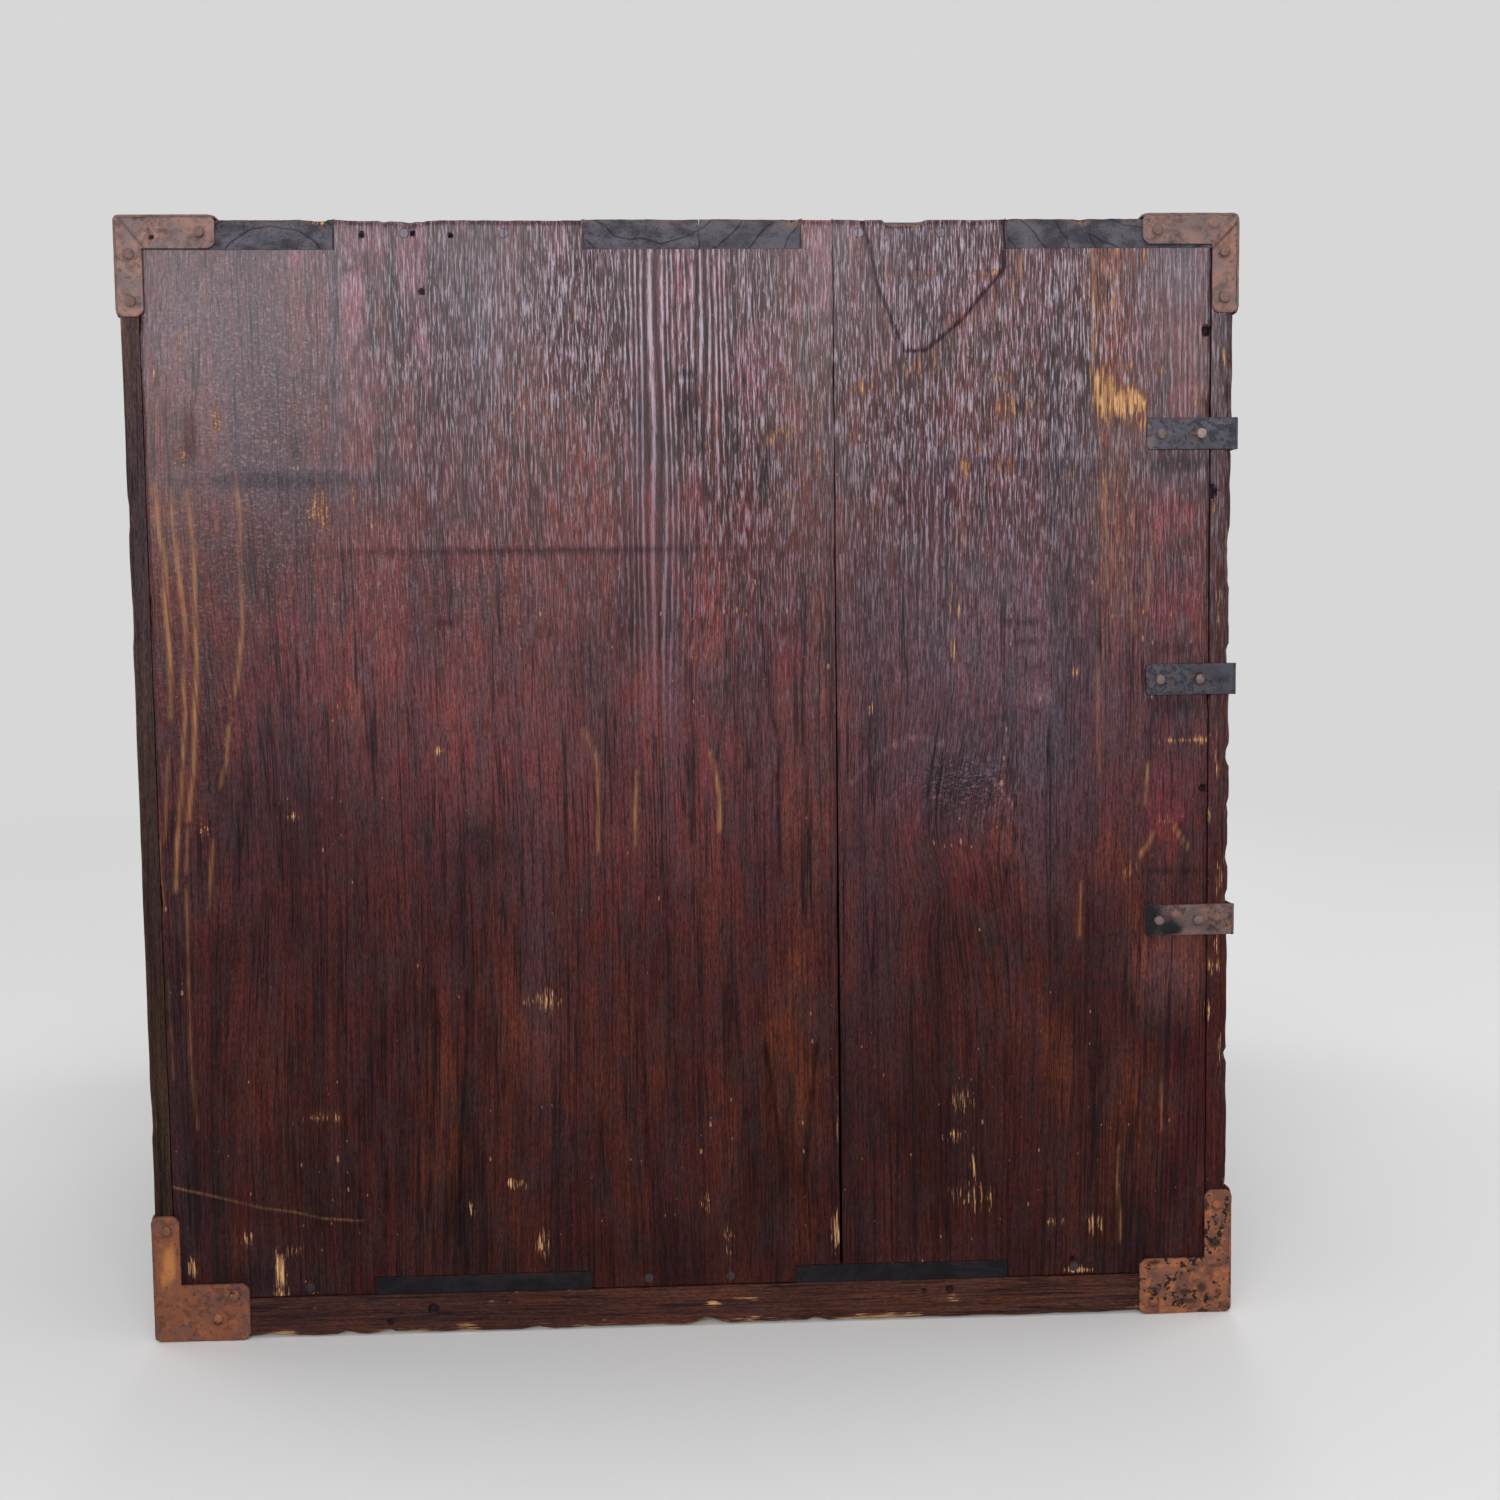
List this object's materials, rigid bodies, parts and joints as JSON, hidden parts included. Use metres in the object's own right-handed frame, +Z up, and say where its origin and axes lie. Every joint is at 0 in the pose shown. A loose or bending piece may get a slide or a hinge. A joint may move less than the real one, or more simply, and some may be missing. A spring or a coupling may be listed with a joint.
{
  "type": "document chest",
  "caption": "Small plank chest of sliding drawers with drop handles, a finger-jointed case on base rails, and sheet-iron corner fittings and straps.",
  "frame": {"origin": "on the floor, at the middle of the whole chest's outline, handles and fittings included", "axes": "+Z up, the drawers face -Y and slide out along it, +X to the right of someone facing the back"},
  "size_m": [0.4544, 0.4624, 0.4572],
  "materials": {
    "side_wood": "worn brown-red lacquer over raised grain",
    "top_wood": "worn brown-red lacquer",
    "front_wood": "brown-red lacquer, rubbed at the edges",
    "back_wood": "dry stained wood",
    "raw_wood": "bare wood, darkened with age",
    "peg_wood": "dark end grain",
    "rusty_iron": "brown rust on sheet iron",
    "dark_iron": "blackened iron with spots of rust",
    "handle_iron": "dark forged iron, rubbed bright on the grip"
  },
  "bodies": {
    "case": {"left_side_rear_plank": "side_wood", "left_side_front_plank": "side_wood", "left_front_stile": "side_wood", "right_side_rear_plank": "side_wood", "right_side_front_plank": "side_wood", "right_front_stile": "side_wood", "top_rear_plank": "top_wood", "top_front_plank": "top_wood", "bottom_board": "raw_wood", "back_boards": "back_wood", "upper_rail": "front_wood", "middle_rail": "front_wood", "lower_rail": "front_wood", "left_runners": "raw_wood", "right_runners": "raw_wood", "left_base_rail": "side_wood", "right_base_rail": "side_wood", "front_base_rail": "side_wood", "rear_base_rail": "side_wood", "top_rear_left_iron": "rusty_iron", "bottom_rear_left_iron": "rusty_iron", "top_rear_right_iron": "rusty_iron", "bottom_rear_right_iron": "rusty_iron", "top_front_left_iron": "rusty_iron", "bottom_front_left_iron": "rusty_iron", "top_front_right_iron": "rusty_iron", "bottom_front_right_iron": "rusty_iron", "left_straps": "dark_iron", "right_straps": "dark_iron", "iron_nails": "dark_iron", "joint_pegs": "peg_wood", "back_nails": "dark_iron"},
    "top_drawer": {"top_drawer_front": "front_wood", "top_drawer_left_side": "raw_wood", "top_drawer_right_side": "raw_wood", "top_drawer_back": "raw_wood", "top_drawer_bottom": "raw_wood", "top_drawer_handle_mounts": "handle_iron"},
    "top_handle": {"top_drawer_bail": "handle_iron"},
    "upper_drawer": {"upper_drawer_front": "front_wood", "upper_drawer_left_side": "raw_wood", "upper_drawer_right_side": "raw_wood", "upper_drawer_back": "raw_wood", "upper_drawer_bottom": "raw_wood", "upper_drawer_handle_mounts": "handle_iron"},
    "upper_handle": {"upper_drawer_bail": "handle_iron"},
    "lower_drawer": {"lower_drawer_front": "front_wood", "lower_drawer_left_side": "raw_wood", "lower_drawer_right_side": "raw_wood", "lower_drawer_back": "raw_wood", "lower_drawer_bottom": "raw_wood", "lower_drawer_handle_mounts": "handle_iron"},
    "lower_handle": {"lower_drawer_bail": "handle_iron"},
    "bottom_drawer": {"bottom_drawer_front": "front_wood", "bottom_drawer_left_side": "raw_wood", "bottom_drawer_right_side": "raw_wood", "bottom_drawer_back": "raw_wood", "bottom_drawer_bottom": "raw_wood", "bottom_drawer_handle_mounts": "handle_iron"},
    "bottom_handle": {"bottom_drawer_bail": "handle_iron"}
  },
  "joints": [
    {"name": "top_drawer_slide", "type": "slide", "parent": "case", "child": "top_drawer", "axis": [0, -1, 0], "range_m": [0, 0.3]},
    {"name": "top_handle_swing", "type": "hinge", "parent": "top_drawer", "child": "top_handle", "pos_m": [0, -0.22698, 0.4204], "axis": [-1, 0, 0], "range_deg": [-11, 190]},
    {"name": "upper_drawer_slide", "type": "slide", "parent": "case", "child": "upper_drawer", "axis": [0, -1, 0], "range_m": [0, 0.3]},
    {"name": "upper_handle_swing", "type": "hinge", "parent": "upper_drawer", "child": "upper_handle", "pos_m": [0, -0.22698, 0.32965], "axis": [-1, 0, 0], "range_deg": [-11, 190]},
    {"name": "lower_drawer_slide", "type": "slide", "parent": "case", "child": "lower_drawer", "axis": [0, -1, 0], "range_m": [0, 0.3]},
    {"name": "lower_handle_swing", "type": "hinge", "parent": "lower_drawer", "child": "lower_handle", "pos_m": [0, -0.22698, 0.22965], "axis": [-1, 0, 0], "range_deg": [-11, 190]},
    {"name": "bottom_drawer_slide", "type": "slide", "parent": "case", "child": "bottom_drawer", "axis": [0, -1, 0], "range_m": [0, 0.3]},
    {"name": "bottom_handle_swing", "type": "hinge", "parent": "bottom_drawer", "child": "bottom_handle", "pos_m": [0, -0.22698, 0.10465], "axis": [-1, 0, 0], "range_deg": [-11, 190]}
  ]
}
